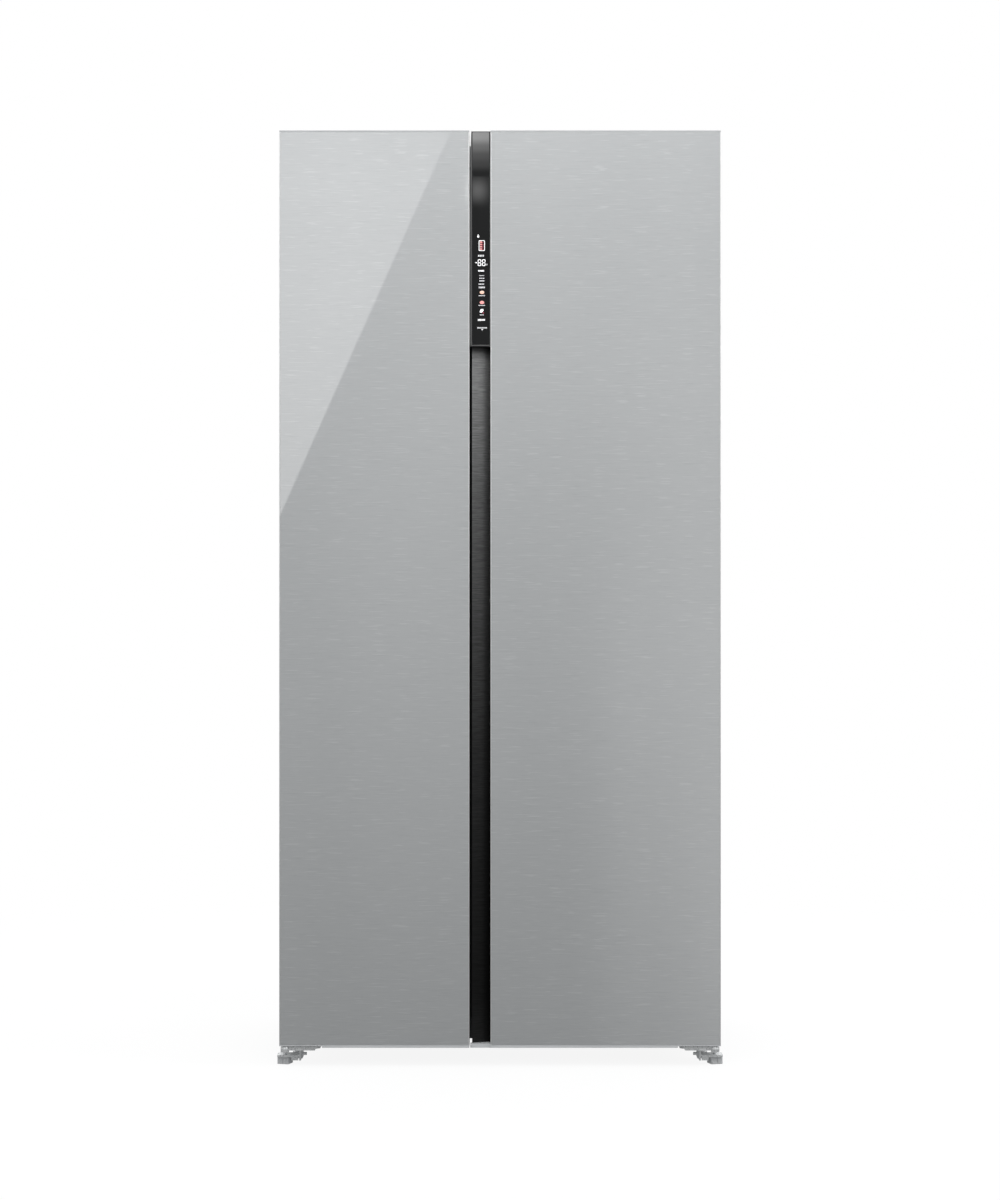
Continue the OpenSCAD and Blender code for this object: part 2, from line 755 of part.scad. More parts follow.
// Caps of the fridge door. The bottom one also closes the end of the grip channel
module right_door_end_caps() {
    lip_y = front_y + 2;
    channel_end = 2.5;
    back_corner = [right_body, floor_y(right_body)];
    channel_front = [[right_reach, back_corner[1]], [right_reach, lip_y + 2], [right_reach + 2, lip_y],
                     [right_edge, lip_y]];
    door = [[right_edge, front_y], [half_w, front_y], [half_w, door_back], [right_body, door_back]];
    color([0.80, 0.81, 0.82]) {
        union() {
            bottom_cap(1, concat([back_corner], channel_front, door));
            linear_extrude_at(core_z[0], channel_end)
                polygon(concat([back_corner], channel_front, [[right_edge, floor_y(right_edge)]]));
        }
        top_cap(1, concat([back_corner, [right_edge, floor_y(right_edge)]], door));
    }
}

// Foam core of the fridge door, stepped back behind the grip channel
module right_door_core() {
    back = door_back - liner_t;
    lip = front_y + lip_back - grip_t;
    floor_back = front_y + channel_deep + grip_t;
    pocket = right_edge + right_pocket_w + grip_t;
    left = right_body + grip_t;
    color([0.93, 0.86, 0.62]) between_caps([
        [left, back], [left, floor_y(left) + grip_t], [right_edge, floor_back], [pocket, floor_back],
        [pocket, lip], [right_edge + edge_t, lip], [right_edge + edge_t, front_y + glass_t],
        [half_w - stile_t, front_y + glass_t], [half_w - stile_t, back]
    ], 1);
}

// Dark profile that lines the grip channel of the fridge door
module right_door_grip() {
    back = door_back - liner_t;
    inner = right_edge + right_pocket_w;
    left = right_body + grip_t;
    y = [front_y + lip_back - grip_t, front_y + lip_back,
         front_y + channel_deep, front_y + channel_deep + grip_t];
    color([0.13, 0.13, 0.14]) between_caps([
        [right_body, back], [right_body, floor_y(right_body)], [right_edge, y[2]], [inner, y[2]],
        [inner, y[1]], [right_edge, y[1]], [right_edge, y[0]], [inner + grip_t, y[0]],
        [inner + grip_t, y[3]], [right_edge, y[3]], [left, floor_y(left) + grip_t], [left, back]
    ], 1);
}

// Inner liner of a door: a flat sheet with a raised ring around the bins
module door_liner(side, x, ring_x) {
    ring_z = [bin_base - ring_w - 8, room_z[1] - 10];
    ring_h = 30;
    color([0.96, 0.97, 0.97]) union() {
        difference() {
            block([x[0], door_back - liner_t, core_z[0]], [x[1], door_back, core_z[1]]);
            hinge_notch(side);
        }
        difference() {
            upright_block(ring_x, [door_back - 1, door_back + ring_h], ring_z, 16);
            upright_block([ring_x[0] + ring_w, ring_x[1] - ring_w], [door_back, door_back + ring_h + 1],
                          [ring_z[0] + ring_w, ring_z[1] - ring_w], 6);
        }
    }
}

// Magnetic gasket around the inner side of a door
module door_gasket(x) {
    leg = 16;
    y = [door_back, cab_front - 0.3];
    z = [cab_bottom + 20, cab_top - 10];
    color([0.88, 0.89, 0.90]) difference() {
        block([x[0], y[0], z[0]], [x[1], y[1], z[1]]);
        block([x[0] + leg, y[0] - 1, z[0] + leg], [x[1] - leg, y[1] + 1, z[1] - leg]);
    }
}

// Plan of a bin: square at the door, round at its two front corners
module bin_plan(x, y, r) {
    union() {
        translate([x[0], y[0]]) square([x[1] - x[0], y[1] - y[0] - r]);
        translate([x[0] + r, y[0]]) square([x[1] - x[0] - 2 * r, y[1] - y[0]]);
        for (c = [x[0] + r, x[1] - r]) translate([c, y[1] - r]) circle(r);
    }
}

// Open topped door bins, each with a thicker rim along its front
module door_bins(x) {
    wall = 2.5;
    r = 30;
    h = 100;
    y = [door_back, door_back + 110];
    color([0.85, 0.90, 0.93]) for (i = [0:bin_count - 1])
        translate([0, 0, bin_base + i * bin_pitch]) difference() {
            linear_extrude(h) bin_plan(x, y, r);
            translate([0, 0, wall]) linear_extrude(h)
                bin_plan([x[0] + wall, x[1] - wall], [y[0] + wall, y[1] - wall], r - wall);
        }
}

// ---------- Display ----------

panel_x = [right_reach + 3.2, right_edge - 1.6];
panel_back = 12;
top_curve_z = body_h - 86;
top_curve_r = 620;
side_curve_z = body_h - 76;
side_curve_r = 1500;

// Limits a solid to the display's gently curved front, set back by a depth
module behind_display_front(set_back) {
    y = front_y + set_back;
    intersection() {
        children();
        union() {
            block([-200, y, 0], [200, y + 60, top_curve_z]);
            intersection() {
                translate([0, y + top_curve_r, top_curve_z]) rotate([0, 90, 0])
                    cylinder(r = top_curve_r, h = 400, center = true, $fn = 360);
                block([-200, y, top_curve_z - 1], [200, y + 60, body_h + 1]);
            }
        }
    }
}

// Limits a solid to the housing's left side, which eases inwards at the top
module inside_display_side() {
    intersection() {
        children();
        union() {
            block([right_reach, front_y, 0], [200, front_y + 80, side_curve_z]);
            intersection() {
                translate([right_reach + side_curve_r, front_y, side_curve_z]) rotate([-90, 0, 0])
                    cylinder(r = side_curve_r, h = 80, $fn = 360);
                block([right_reach, front_y, side_curve_z - 1], [200, front_y + 80, body_h + 1]);
            }
        }
    }
}

// Housing that carries the display in the upper part of the grip channel
module display_housing() {
    right = right_edge - 0.2;
    color([0.30, 0.31, 0.31]) difference() {
        inside_display_side() behind_display_front(2.5)
            linear_extrude_at(display_bottom, body_h - display_bottom) polygon([
                [right_reach, front_y], [right, front_y], [right, floor_y(right)],
                [right_body, floor_y(right_body)], [right_reach, floor_y(right_body)]
            ]);
        display_pocket();
    }
}

// Space for the panel in the front of the housing
module display_pocket() {
    block([panel_x[0], front_y - 1, display_bottom + 2.4], [panel_x[1], front_y + panel_back, body_h + 1]);
}

// Black glass touch panel
module display_panel() {
    color([0.03, 0.03, 0.035]) behind_display_front(3)
        block([panel_x[0] + 0.1, front_y, display_bottom + 2.5],
              [panel_x[1] - 0.1, front_y + panel_back, body_h - 0.3]);
}

// Widths of the raised rings of the door liners, and of the gaskets
ring_w = 14;
left_ring = [freezer_x[0] + 10, freezer_x[1] - 10];
right_ring = [fridge_x[0] + 10, fridge_x[1] - 10];
left_gasket = [-pivot_x + 1, left_edge - 4];
right_gasket = [right_body + 4, pivot_x - 1];

cabinet_shell();
back_panel();
base_pan();
insulation_foam();
liner(freezer_x, [-cab_half + flange_w, freezer_x[1] + 3]);  // freezer_liner
liner(fridge_x, [fridge_x[0] - 3, cab_half - flange_w]);  // fridge_liner
mullion_cover();
freezer_air_duct();
fridge_air_duct();
evaporator();
evaporator_fan();
for (i = [1:shelf_count]) {
    level = shelf_base + (i - 1) * shelf_pitch;
    shelf(freezer_x, level);
    shelf(fridge_x, level);
}
lamp(freezer_x);  // freezer_lamp
lamp(fridge_x);  // fridge_lamp
compressor();
machine_cover();
cord_gland();
cabinet_screws();
top_hinge(-1);  // left_top_hinge
top_hinge(1);  // right_top_hinge
hinge_cover(-1);  // left_hinge_cover
hinge_cover(1);  // right_hinge_cover
bottom_bracket(-1);  // left_bottom_bracket
bottom_bracket(1);  // right_bottom_bracket
foot(-1);  // left_foot
foot(1);  // right_foot
roller(-front_roller_x, front_roller_y, front_roller_z, front_roller_r, 13, 3);  // left_front_roller
roller(front_roller_x, front_roller_y, front_roller_z, front_roller_r, 13, 3);  // right_front_roller
roller(-rear_roller_x, rear_roller_y, rear_roller_r, rear_roller_r, 21, 3);  // left_rear_roller
roller(rear_roller_x, rear_roller_y, rear_roller_r, rear_roller_r, 21, 3);  // right_rear_roller
rear_roller_brackets();
drawer([freezer_x[0] + 4, freezer_x[1] - 4], [shelf_front, step_y - 5], lower_drawer_z);  // freezer_drawer_lower
drawer([freezer_x[0] + 4, freezer_x[1] - 4], [shelf_front, shelf_back], upper_drawer_z);  // freezer_drawer_upper
drawer([fridge_x[0] + 4, fridge_x[1] - 4], [shelf_front, step_y - 5], lower_drawer_z);  // crisper_drawer_lower
drawer([fridge_x[0] + 4, fridge_x[1] - 4], [shelf_front, shelf_back], upper_drawer_z);  // crisper_drawer_upper
door_glass([-half_w + stile_t, left_edge - edge_t]);  // left_door_glass
door_frame(-1, [-half_w, -half_w + stile_t], [left_edge - edge_t, left_edge]);  // left_door_frame
left_door_end_caps();
left_door_core();
door_liner(-1, [-half_w + stile_t, left_edge], left_ring);  // left_door_liner
door_gasket(left_gasket);  // left_door_gasket
left_door_grip();
door_bins([left_ring[0] + ring_w, left_ring[1] - ring_w]);  // left_door_bins
door_glass([right_edge + edge_t, half_w - stile_t]);  // right_door_glass
door_frame(1, [half_w - stile_t, half_w], [right_edge, right_edge + edge_t]);  // right_door_frame
right_door_end_caps();
right_door_core();
door_liner(1, [right_body, half_w - stile_t], right_ring);  // right_door_liner
door_gasket(right_gasket);  // right_door_gasket
right_door_grip();
door_bins([right_ring[0] + ring_w, right_ring[1] - ring_w]);  // right_door_bins
display_housing();
display_panel();
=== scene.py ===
import json
import math

import bmesh
import bpy
from mathutils import Matrix, Vector


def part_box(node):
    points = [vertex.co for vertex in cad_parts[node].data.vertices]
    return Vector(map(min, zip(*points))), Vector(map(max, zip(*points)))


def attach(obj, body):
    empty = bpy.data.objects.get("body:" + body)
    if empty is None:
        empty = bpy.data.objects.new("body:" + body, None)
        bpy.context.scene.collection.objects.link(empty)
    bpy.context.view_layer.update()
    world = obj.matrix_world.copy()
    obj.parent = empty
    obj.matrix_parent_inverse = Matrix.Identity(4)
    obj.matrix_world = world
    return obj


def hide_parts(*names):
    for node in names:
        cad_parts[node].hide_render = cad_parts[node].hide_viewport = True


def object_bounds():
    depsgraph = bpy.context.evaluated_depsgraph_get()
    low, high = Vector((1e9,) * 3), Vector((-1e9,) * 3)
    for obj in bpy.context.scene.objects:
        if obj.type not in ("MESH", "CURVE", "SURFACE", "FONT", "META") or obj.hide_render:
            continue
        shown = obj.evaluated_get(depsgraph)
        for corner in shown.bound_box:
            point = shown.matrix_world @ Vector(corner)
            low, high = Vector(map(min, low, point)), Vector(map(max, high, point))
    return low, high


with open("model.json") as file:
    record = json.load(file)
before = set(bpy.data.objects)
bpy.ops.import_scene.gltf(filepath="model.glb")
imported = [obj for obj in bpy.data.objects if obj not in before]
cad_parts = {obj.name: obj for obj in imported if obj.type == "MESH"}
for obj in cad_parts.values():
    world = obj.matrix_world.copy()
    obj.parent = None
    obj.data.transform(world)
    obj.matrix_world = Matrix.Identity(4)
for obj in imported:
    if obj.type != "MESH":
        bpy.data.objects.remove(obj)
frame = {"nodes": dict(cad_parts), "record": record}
cad_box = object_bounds()

MM = 0.001
SIDES = ("left", "right")
DRAWERS = ("freezer_drawer_lower", "freezer_drawer_upper", "crisper_drawer_lower", "crisper_drawer_upper")
SHELVES = [node for node in frame["nodes"] if "_shelf_" in node]
BOARD_Y = -8.0
SAME_POINT = 0.005 * MM


# ---------- Material tools ----------

class Surface:
    """A node material around one Principled shader. Textures read the object's own coordinates in metres."""

    def __init__(self, name, **constants):
        self.material = bpy.data.materials.new(name)
        self.material.use_nodes = True
        self.tree = self.material.node_tree
        self.shader = self.tree.nodes["Principled BSDF"]
        self.place = self.add("ShaderNodeTexCoord").outputs["Object"]
        for words, value in constants.items():
            self.shader.inputs[words.replace("_", " ").title().replace("Ior", "IOR")].default_value = value

    def add(self, kind, **props):
        made = self.tree.nodes.new(kind)
        for key, value in props.items():
            setattr(made, key, value)
        return made

    def join(self, source, target):
        self.tree.links.new(source, target)

    def stretched(self, per_metre, shift=(0, 0, 0)):
        """The object's coordinates, scaled to so many cells per metre along each axis."""
        mapping = self.add("ShaderNodeMapping")
        mapping.inputs["Scale"].default_value = per_metre
        mapping.inputs["Location"].default_value = shift
        self.join(self.place, mapping.inputs["Vector"])
        return mapping.outputs["Vector"]

    def noise(self, per_metre, detail=2.0, roughness=0.5, shift=(0, 0, 0)):
        made = self.add("ShaderNodeTexNoise")
        made.inputs["Scale"].default_value = 1.0
        made.inputs["Detail"].default_value = detail
        made.inputs["Roughness"].default_value = roughness
        self.join(self.stretched(per_metre, shift), made.inputs["Vector"])
        return made.outputs["Fac"]

    def cells(self, per_metre):
        made = self.add("ShaderNodeTexVoronoi")
        made.inputs["Scale"].default_value = 1.0
        self.join(self.stretched(per_metre), made.inputs["Vector"])
        return made

    def ramp(self, fac, stops, interpolation="LINEAR"):
        """Colours from a 0 to 1 value. A stop is (position, grey or colour)."""
        made = self.add("ShaderNodeValToRGB")
        made.color_ramp.interpolation = interpolation
        points = made.color_ramp.elements
        while len(points) < len(stops):
            points.new(0.5)
        for point, (position, colour) in zip(points, stops):
            point.position = position
            point.color = rgba(colour)
        self.join(fac, made.inputs["Fac"])
        return made.outputs["Color"]

    def span(self, fac, low, high, from_low=0.0, from_high=1.0):
        """A value moved to another range."""
        made = self.add("ShaderNodeMapRange")
        limits = {"From Min": from_low, "From Max": from_high, "To Min": low, "To Max": high}
        for socket, value in limits.items():
            made.inputs[socket].default_value = value
        self.join(fac, made.inputs["Value"])
        return made.outputs["Result"]

    def blend(self, mode, amount, a, b):
        made = self.add("ShaderNodeMix", data_type="RGBA", blend_type=mode)
        made.inputs["Factor"].default_value = amount
        self.join(a, made.inputs["A"])
        self.join(b, made.inputs["B"])
        return made.outputs["Result"]

    def coordinate(self, axis):
        split = self.add("ShaderNodeSeparateXYZ")
        self.join(self.place, split.inputs["Vector"])
        return split.outputs[axis]

    def colour(self, output):
        self.join(output, self.shader.inputs["Base Color"])

    def roughness(self, output):
        self.join(output, self.shader.inputs["Roughness"])

    def bump(self, height, strength, depth):
        made = self.add("ShaderNodeBump")
        made.inputs["Strength"].default_value = strength
        made.inputs["Distance"].default_value = depth
        self.join(height, made.inputs["Height"])
        self.join(made.outputs["Normal"], self.shader.inputs["Normal"])


def rgba(colour):
    if isinstance(colour, (int, float)):
        return (colour, colour, colour, 1.0)
    return (*colour[:3], 1.0)


# ---------- Materials ----------

def door_print():
    """Silver print of brushed steel behind clear glass: short level streaks and a faint cloudiness."""
    s = Surface("door_print", metallic=0.88, coat_weight=1.0, coat_roughness=0.015, coat_ior=1.9)
    streaks = s.noise((26, 26, 620), detail=3, roughness=0.65)
    bright_lines = s.noise((24, 24, 430), detail=1, shift=(9, 4, 2))
    hairlines = s.noise((60, 60, 1500), detail=1, shift=(3, 1, 7))
    clouds = s.noise((2.6, 2.6, 0.9), detail=1, shift=(5, 2, 4))
    streak_colour = s.ramp(streaks, [(0.22, (0.512, 0.525, 0.534)), (0.42, (0.557, 0.568, 0.575)),
                                     (0.60, (0.566, 0.577, 0.583)), (0.80, (0.614, 0.622, 0.627))])
    line_colour = s.ramp(bright_lines, [(0.27, 0.465), (0.36, 0.497), (0.62, 0.497), (0.69, 0.562)])
    cloud_colour = s.ramp(clouds, [(0.3, 0.47), (0.7, 0.53)])
    lined_colour = s.blend("OVERLAY", 1.0, streak_colour, line_colour)
    s.colour(s.blend("OVERLAY", 1.0, lined_colour, cloud_colour))
    s.roughness(s.span(hairlines, 0.36, 0.44))
    return s.material


def brushed_metal(name, dark, light, rough=(0.28, 0.42), per_metre=(40, 40, 900), metallic=1.0):
    s = Surface(name, metallic=metallic)
    grain = s.noise(per_metre, detail=3, roughness=0.6)
    s.colour(s.ramp(grain, [(0.3, dark), (0.7, light)]))
    s.roughness(s.span(grain, *rough))
    s.bump(grain, 0.15, 0.05 * MM)
    return s.material


def grip_metal():
    """Dark brushed lining of the grip channel, with painted shade: it darkens towards the floor, with a
    painted shadow just under the display housing.
    """
    s = Surface("grip_metal", metallic=0.85)
    grain = s.noise((40, 40, 800), detail=3, roughness=0.7)
    low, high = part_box("right_door_grip")
    height = s.span(s.coordinate("Z"), 0.0, 1.0, low.z, high.z)
    # Painted shade by height: darker towards the floor, and the last stops paint the shadow under the display
    # housing.
    painted_shade = s.ramp(height, [(0.0, 0.040), (0.06, 0.020), (0.19, 0.036), (0.32, 0.062), (0.45, 0.135),
                           (0.60, 0.265), (0.75, 0.57), (0.759, 0.27), (0.763, 0.045)])
    lines = s.ramp(grain, [(0.3, 0.40), (0.5, 0.62), (0.75, 0.95)])
    s.colour(s.blend("MULTIPLY", 1.0, painted_shade, lines))
    s.roughness(s.span(grain, 0.34, 0.50))
    s.bump(grain, 0.2, 0.05 * MM)
    return s.material


def moulded(name, colour, rough=(0.38, 0.52), grain_mm=0.6, depth=0.03, **constants):
    """Plastic with a fine moulded grain and slight unevenness of shade."""
    s = Surface(name, **constants)
    shade = s.noise((9, 9, 9), detail=3)
    darker = [0.90 * c for c in colour]
    s.colour(s.ramp(shade, [(0.3, darker), (0.7, colour)]))
    cell = 1000 / grain_mm
    grain = s.noise((cell, cell, cell), detail=1)
    s.roughness(s.span(shade, *rough))
    s.bump(grain, 0.25, depth * MM)
    return s.material


def painted(name, dark, light):
    """Powder coat with an orange peel surface."""
    s = Surface(name, metallic=0.35, coat_weight=0.25, coat_roughness=0.25)
    peel = s.noise((420, 420, 420), detail=2)
    shade = s.noise((3, 3, 3), detail=2)
    s.colour(s.ramp(shade, [(0.3, dark), (0.7, light)]))
    s.roughness(s.span(peel, 0.36, 0.50))
    s.bump(peel, 0.22, 0.12 * MM)
    return s.material


def galvanised():
    """Zinc coated sheet with its spangle."""
    s = Surface("galvanised", metallic=0.9)
    spangle = s.cells((150, 150, 110))
    fine = s.noise((700, 700, 700), detail=2)
    tone = s.ramp(spangle.outputs["Color"], [(0.0, (0.53, 0.545, 0.56)), (1.0, (0.61, 0.625, 0.64))])
    s.colour(tone)
    s.roughness(s.span(spangle.outputs["Distance"], 0.38, 0.48, 0.0, 0.7))
    s.bump(fine, 0.15, 0.05 * MM)
    return s.material


def clear_plastic():
    s = Surface("clear_plastic", transmission_weight=0.92, ior=1.49)
    haze = s.noise((14, 14, 14), detail=3)
    s.colour(s.ramp(haze, [(0.3, (0.86, 0.92, 0.95)), (0.7, (0.93, 0.97, 0.99))]))
    s.roughness(s.span(haze, 0.05, 0.14))
    return s.material


def shelf_glass():
    s = Surface("shelf_glass", transmission_weight=0.95, ior=1.5)
    haze = s.noise((8, 8, 8), detail=2)
    s.colour(s.ramp(haze, [(0.3, (0.80, 0.92, 0.88)), (0.7, (0.88, 0.96, 0.93))]))
    s.roughness(s.span(haze, 0.01, 0.04))
    return s.material


def display_glass():
    """Smoked black glass, very smooth, with faint wiping marks in its gloss."""
    s = Surface("display_glass", ior=1.38)
    wipes = s.noise((30, 30, 8), detail=3)
    s.colour(s.ramp(wipes, [(0.3, (0.004, 0.0042, 0.0045)), (0.7, (0.007, 0.0073, 0.0077))]))
    s.roughness(s.span(wipes, 0.012, 0.035))
    return s.material


def glowing(name, dark, light, strength):
    """Lit symbol or lens: its light is a little uneven, as through a diffuser."""
    s = Surface(name, roughness=0.35, emission_strength=strength)
    spread = s.noise((260, 260, 260), detail=1)
    lit = s.ramp(spread, [(0.3, dark), (0.7, light)])
    s.colour(lit)
    s.join(lit, s.shader.inputs["Emission Color"])
    return s.material


def rubber(name, dark, light):
    s = Surface(name)
    dust = s.noise((60, 60, 60), detail=4, roughness=0.7)
    s.colour(s.ramp(dust, [(0.35, dark), (0.75, light)]))
    s.roughness(s.span(dust, 0.55, 0.78))
    s.bump(s.noise((1500, 1500, 1500)), 0.2, 0.04 * MM)
    return s.material


def enamel():
    s = Surface("black_enamel", coat_weight=0.6, coat_roughness=0.12)
    runs = s.noise((120, 120, 40), detail=3)
    s.colour(s.ramp(runs, [(0.3, 0.012), (0.7, 0.022)]))
    s.roughness(s.span(runs, 0.25, 0.42))
    s.bump(runs, 0.2, 0.2 * MM)
    return s.material


PRINT = door_print()
EDGE = brushed_metal("edge_metal", 0.74, 0.88)
GRIP = grip_metal()
CAP = moulded("cap_plastic", (0.60, 0.61, 0.62), grain_mm=0.5)
TRIM_GREY = moulded("trim_grey", (0.105, 0.105, 0.105), rough=(0.30, 0.40))
WHITE = moulded("liner_white", (0.86, 0.87, 0.87), rough=(0.25, 0.36), grain_mm=1.2)
DUCT_WHITE = moulded("duct_white", (0.80, 0.81, 0.82), rough=(0.40, 0.52))
SHELF_TRIM = moulded("shelf_trim", (0.78, 0.79, 0.80), rough=(0.25, 0.35))
FOAM = moulded("cut_foam", (0.80, 0.68, 0.42), rough=(0.8, 0.95), grain_mm=1.5, depth=0.4)
GASKET = rubber("gasket_grey", (0.42, 0.43, 0.44), (0.52, 0.53, 0.54))
PAINT = painted("silver_paint", (0.40, 0.41, 0.42), (0.46, 0.47, 0.48))
DARK_PAINT = painted("dark_paint", (0.045, 0.047, 0.05), (0.06, 0.062, 0.066))
SHEET = galvanised()
ZINC = brushed_metal("zinc_plate", (0.66, 0.67, 0.68), (0.86, 0.87, 0.87), (0.20, 0.38), (180, 180, 180),
                     metallic=0.6)
# Painted shade: the mullion cover is near black so that it stands in for the shade in the gap between the
# doors.
MULLION_PAINTED_SHADE = moulded("mullion_painted_shade", (0.028, 0.028, 0.029), rough=(0.45, 0.6))
FOOT = moulded("foot_plastic", (0.60, 0.61, 0.62), rough=(0.35, 0.5))
ROLLER = moulded("roller_plastic", (0.62, 0.62, 0.63), rough=(0.35, 0.5))
CLEAR = clear_plastic()
GLASS = shelf_glass()
DISPLAY = display_glass()
LENS = glowing("lamp_lens", (0.80, 0.84, 0.90), (0.95, 0.97, 1.0), 0.25)
SYMBOL_WHITE = glowing("symbol_white", (0.80, 0.80, 0.82), (1.0, 1.0, 1.0), 0.75)
SYMBOL_PALE = glowing("symbol_pale", (0.62, 0.62, 0.64), (0.80, 0.80, 0.82), 0.55)
SYMBOL_PINK = glowing("symbol_pink", (0.78, 0.30, 0.30), (0.90, 0.42, 0.40), 0.5)
SYMBOL_RED = glowing("symbol_red", (0.30, 0.03, 0.06), (0.45, 0.06, 0.09), 0.4)
SYMBOL_PEACH = glowing("symbol_peach", (0.80, 0.50, 0.38), (0.92, 0.66, 0.54), 0.5)
COIL = brushed_metal("coil_aluminium", 0.58, 0.72, (0.3, 0.45), (300, 300, 300))
FAN = moulded("fan_black", (0.03, 0.03, 0.032))
ENAMEL = enamel()
GLAND = rubber("gland_rubber", (0.02, 0.02, 0.021), (0.035, 0.035, 0.037))

MATERIAL_OF_SLOT = {
    "door_glass": PRINT, "edge_metal": EDGE, "cap_plastic": CAP, "grip_dark": GRIP, "foam": FOAM,
    "liner_white": WHITE, "gasket_grey": GASKET, "clear_plastic": CLEAR, "display_glass": DISPLAY,
    "trim_grey": TRIM_GREY, "shell_paint": PAINT, "back_steel": SHEET, "zinc_steel": ZINC,
    "foot_plastic": FOOT, "roller_plastic": ROLLER, "shelf_glass": GLASS, "duct_white": DUCT_WHITE,
    "coil_aluminium": COIL, "fan_black": FAN, "lamp_lens": LENS, "compressor_black": ENAMEL,
    "cover_black": DARK_PAINT, "gland_black": GLAND,
}

MATERIAL_OF_NODE = {"mullion_cover": MULLION_PAINTED_SHADE}


# ---------- CAD nodes ----------

BEVELS_MM = {
    "glass": 0.5, "frame": 0.3, "end_caps": 0.8, "housing": 0.5, "panel": 0.3, "shell": 1.0,
    "bracket": 0.5, "hinge": 0.6, "foot": 0.9, "roller": 1.0, "drawer": 0.8, "bins": 0.7, "liner": 1.2,
    "gland": 0.4, "lamp": 1.2, "duct": 0.8,
}


def soften(node, width):
    """Rounds a CAD node's sharp edges a little, with modifiers only."""
    weld = node.modifiers.new("weld", "WELD")
    weld.merge_threshold = SAME_POINT
    bevel = node.modifiers.new("bevel", "BEVEL")
    bevel.width = width * MM
    bevel.segments = 2
    bevel.limit_method = "ANGLE"
    bevel.angle_limit = math.radians(40)
    bevel.harden_normals = True


def dress_cad_nodes():
    """Gives every CAD node its material, and softens the kinds of node that have a bevel width."""
    slots = {entry["node"]: entry["material_slot"] for entry in frame["record"]["subparts"]}
    for name, node in frame["nodes"].items():
        node.data.materials.clear()
        node.data.materials.append(MATERIAL_OF_NODE.get(name, MATERIAL_OF_SLOT[slots[name]]))
        widths = [width for word, width in BEVELS_MM.items() if word in name]
        if widths:
            soften(node, widths[-1])


# ---------- Piece tools ----------

def finish_piece(name, bm, material, body, bevel_mm=0.0):
    """Turns a mesh under construction into a named piece that rides on a body."""
    mesh = bpy.data.meshes.new(name)
    bmesh.ops.recalc_face_normals(bm, faces=bm.faces)
    bm.to_mesh(mesh)
    bm.free()
    mesh.materials.append(material)
    piece = bpy.data.objects.new(name, mesh)
    bpy.context.scene.collection.objects.link(piece)
    if bevel_mm:
        bevel = piece.modifiers.new("bevel", "BEVEL")
        bevel.width = bevel_mm * MM
        bevel.segments = 3
        bevel.limit_method = "ANGLE"
    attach(piece, body)
    return piece


def add_box(bm, low, high):
    low, high = Vector(low), Vector(high)
    place = Matrix.Translation((low + high) / 2) @ Matrix.Diagonal((*(high - low), 1.0))
    bmesh.ops.create_cube(bm, size=1.0, matrix=place)


def add_prism(bm, outline, y_front, y_back):
    """Plate with an outline of (x, z) points, between two depths."""
    front = [bm.verts.new((x, y_front, z)) for x, z in outline]
    back = [bm.verts.new((x, y_back, z)) for x, z in outline]
    bm.faces.new(front)
    bm.faces.new(back[::-1])
    for i in range(len(outline)):
        j = (i + 1) % len(outline)
        bm.faces.new((front[i], back[i], back[j], front[j]))


def add_rail(bm, outline, x0, x1):
    """Rail along X with an outline of (y, z) points. Short edges of the outline are shaded as one curve."""
    curve_edge = 1.2 * MM
    left = [bm.verts.new((x0, y, z)) for y, z in outline]
    right = [bm.verts.new((x1, y, z)) for y, z in outline]
    bm.faces.new(left[::-1])
    bm.faces.new(right)
    for i in range(len(outline)):
        j = (i + 1) % len(outline)
        face = bm.faces.new((left[i], left[j], right[j], right[i]))
        face.smooth = (left[i].co - left[j].co).length < curve_edge


def sweep_frame(bm, low, high, profile):
    """Closed profile of (inset, depth) points swept round an upright rectangle with mitred corners."""
    x0, x1, z0, z1 = low.x, high.x, low.z, high.z
    corners = ((x0, z0, 1, 1), (x1, z0, -1, 1), (x1, z1, -1, -1), (x0, z1, 1, -1))
    rings = [[bm.verts.new((x + sx * inset, low.y + depth, z + sz * inset)) for inset, depth in profile]
             for x, z, sx, sz in corners]
    for a, b in zip(rings, rings[1:] + rings[:1]):
        for i in range(len(profile)):
            j = (i + 1) % len(profile)
            bm.faces.new((a[i], a[j], b[j], b[i]))


# ---------- Display symbols ----------

